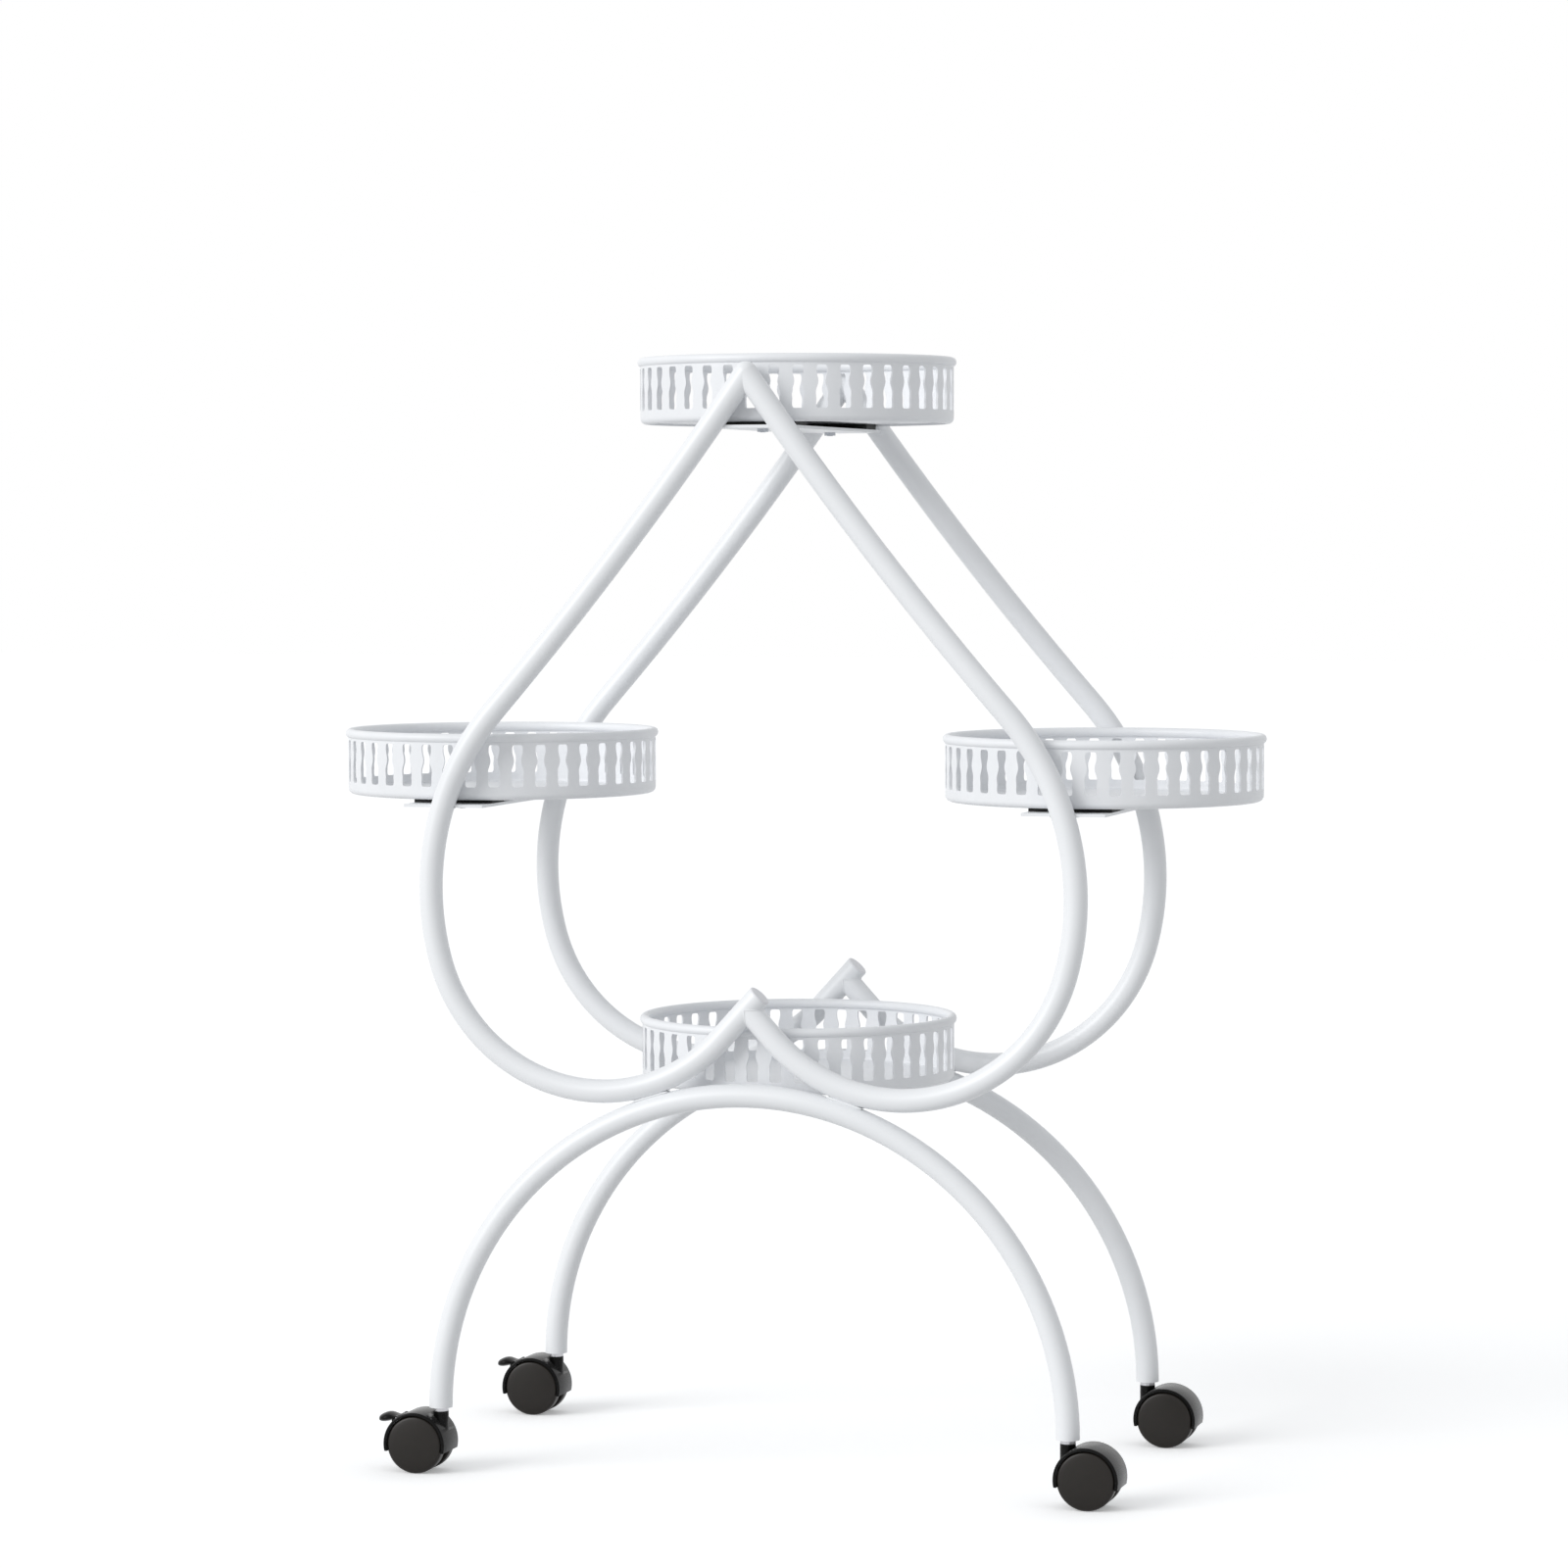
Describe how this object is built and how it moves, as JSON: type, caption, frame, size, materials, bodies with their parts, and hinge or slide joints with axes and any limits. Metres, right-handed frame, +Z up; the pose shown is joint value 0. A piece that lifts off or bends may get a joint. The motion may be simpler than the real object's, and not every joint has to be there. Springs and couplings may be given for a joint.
{
  "type": "plant rack",
  "caption": "Rolling plant rack: paired heart and arch frames of bent white tube carry round pierced gallery trays on twin-wheel casters with brake levers.",
  "frame": {"origin": "on the floor under the middle of the rack", "axes": "+Z up, +X to the right seen from the front, front faces -Y"},
  "size_m": [0.6554, 0.2666, 0.7648],
  "materials": {
    "white_coat": "semi-gloss white powder coat on steel tube and strap",
    "white_tray": "semi-gloss white powder coat on pierced sheet steel",
    "white_plastic": "white moulded plastic",
    "insert_plastic": "black moulded nylon",
    "hood_plastic": "satin charcoal nylon",
    "wheel_plastic": "satin charcoal nylon",
    "lever_plastic": "satin charcoal nylon",
    "bright_steel": "bright turned steel",
    "zinc_steel": "zinc-plated steel",
    "black_rubber": "black rubber"
  },
  "bodies": {
    "frame": {"front_heart_left_tube": "white_coat", "front_heart_right_tube": "white_coat", "front_arch_tube": "white_coat", "front_cusp_plug": "white_plastic", "rear_heart_left_tube": "white_coat", "rear_heart_right_tube": "white_coat", "rear_arch_tube": "white_coat", "rear_cusp_plug": "white_plastic", "top_tray_gallery": "white_tray", "top_tray_base": "white_tray", "top_tray_bearer": "white_coat", "left_tray_gallery": "white_tray", "left_tray_base": "white_tray", "left_tray_bearer": "white_coat", "right_tray_gallery": "white_tray", "right_tray_base": "white_tray", "right_tray_bearer": "white_coat", "bottom_tray_gallery": "white_tray", "bottom_tray_base": "white_tray", "bottom_tray_bearer": "white_coat", "tray_studs": "zinc_steel", "tray_spacers": "black_rubber", "tray_nuts": "zinc_steel", "front_left_leg_insert": "insert_plastic", "front_left_caster_stem": "bright_steel", "front_right_leg_insert": "insert_plastic", "front_right_caster_stem": "bright_steel", "rear_left_leg_insert": "insert_plastic", "rear_left_caster_stem": "bright_steel", "rear_right_leg_insert": "insert_plastic", "rear_right_caster_stem": "bright_steel", "stem_snap_rings": "bright_steel"},
    "front_left_caster": {"front_left_caster_hood": "hood_plastic", "front_left_axle": "bright_steel", "front_left_brake_pin": "bright_steel"},
    "front_left_fore_wheel_body": {"front_left_fore_wheel": "wheel_plastic"},
    "front_left_aft_wheel_body": {"front_left_aft_wheel": "wheel_plastic"},
    "front_left_lever_body": {"front_left_brake_lever": "lever_plastic"},
    "front_right_caster": {"front_right_caster_hood": "hood_plastic", "front_right_axle": "bright_steel"},
    "front_right_fore_wheel_body": {"front_right_fore_wheel": "wheel_plastic"},
    "front_right_aft_wheel_body": {"front_right_aft_wheel": "wheel_plastic"},
    "rear_left_caster": {"rear_left_caster_hood": "hood_plastic", "rear_left_axle": "bright_steel", "rear_left_brake_pin": "bright_steel"},
    "rear_left_fore_wheel_body": {"rear_left_fore_wheel": "wheel_plastic"},
    "rear_left_aft_wheel_body": {"rear_left_aft_wheel": "wheel_plastic"},
    "rear_left_lever_body": {"rear_left_brake_lever": "lever_plastic"},
    "rear_right_caster": {"rear_right_caster_hood": "hood_plastic", "rear_right_axle": "bright_steel"},
    "rear_right_fore_wheel_body": {"rear_right_fore_wheel": "wheel_plastic"},
    "rear_right_aft_wheel_body": {"rear_right_aft_wheel": "wheel_plastic"}
  },
  "joints": [
    {"name": "front_left_swivel", "type": "hinge", "parent": "frame", "child": "front_left_caster", "pos_m": [-0.2215, -0.1183, 0.0335], "axis": [0, 0, 1], "continuous": true},
    {"name": "front_left_fore_roll", "type": "hinge", "parent": "front_left_caster", "child": "front_left_fore_wheel_body", "pos_m": [-0.2365, -0.1183, 0.02], "axis": [0, 1, 0], "continuous": true},
    {"name": "front_left_aft_roll", "type": "hinge", "parent": "front_left_caster", "child": "front_left_aft_wheel_body", "pos_m": [-0.2365, -0.1183, 0.02], "axis": [0, 1, 0], "continuous": true},
    {"name": "front_left_brake", "type": "hinge", "parent": "front_left_caster", "child": "front_left_lever_body", "pos_m": [-0.25071, -0.1183, 0.03693], "axis": [0, -1, 0], "range_deg": [0, 15]},
    {"name": "front_right_swivel", "type": "hinge", "parent": "frame", "child": "front_right_caster", "pos_m": [0.2215, -0.1183, 0.0335], "axis": [0, 0, 1], "continuous": true},
    {"name": "front_right_fore_roll", "type": "hinge", "parent": "front_right_caster", "child": "front_right_fore_wheel_body", "pos_m": [0.2365, -0.1183, 0.02], "axis": [0, 1, 0], "continuous": true},
    {"name": "front_right_aft_roll", "type": "hinge", "parent": "front_right_caster", "child": "front_right_aft_wheel_body", "pos_m": [0.2365, -0.1183, 0.02], "axis": [0, 1, 0], "continuous": true},
    {"name": "rear_left_swivel", "type": "hinge", "parent": "frame", "child": "rear_left_caster", "pos_m": [-0.2215, 0.1183, 0.0335], "axis": [0, 0, 1], "continuous": true},
    {"name": "rear_left_fore_roll", "type": "hinge", "parent": "rear_left_caster", "child": "rear_left_fore_wheel_body", "pos_m": [-0.2365, 0.1183, 0.02], "axis": [0, 1, 0], "continuous": true},
    {"name": "rear_left_aft_roll", "type": "hinge", "parent": "rear_left_caster", "child": "rear_left_aft_wheel_body", "pos_m": [-0.2365, 0.1183, 0.02], "axis": [0, 1, 0], "continuous": true},
    {"name": "rear_left_brake", "type": "hinge", "parent": "rear_left_caster", "child": "rear_left_lever_body", "pos_m": [-0.25071, 0.1183, 0.03693], "axis": [0, -1, 0], "range_deg": [0, 15]},
    {"name": "rear_right_swivel", "type": "hinge", "parent": "frame", "child": "rear_right_caster", "pos_m": [0.2215, 0.1183, 0.0335], "axis": [0, 0, 1], "continuous": true},
    {"name": "rear_right_fore_roll", "type": "hinge", "parent": "rear_right_caster", "child": "rear_right_fore_wheel_body", "pos_m": [0.2365, 0.1183, 0.02], "axis": [0, 1, 0], "continuous": true},
    {"name": "rear_right_aft_roll", "type": "hinge", "parent": "rear_right_caster", "child": "rear_right_aft_wheel_body", "pos_m": [0.2365, 0.1183, 0.02], "axis": [0, 1, 0], "continuous": true}
  ]
}
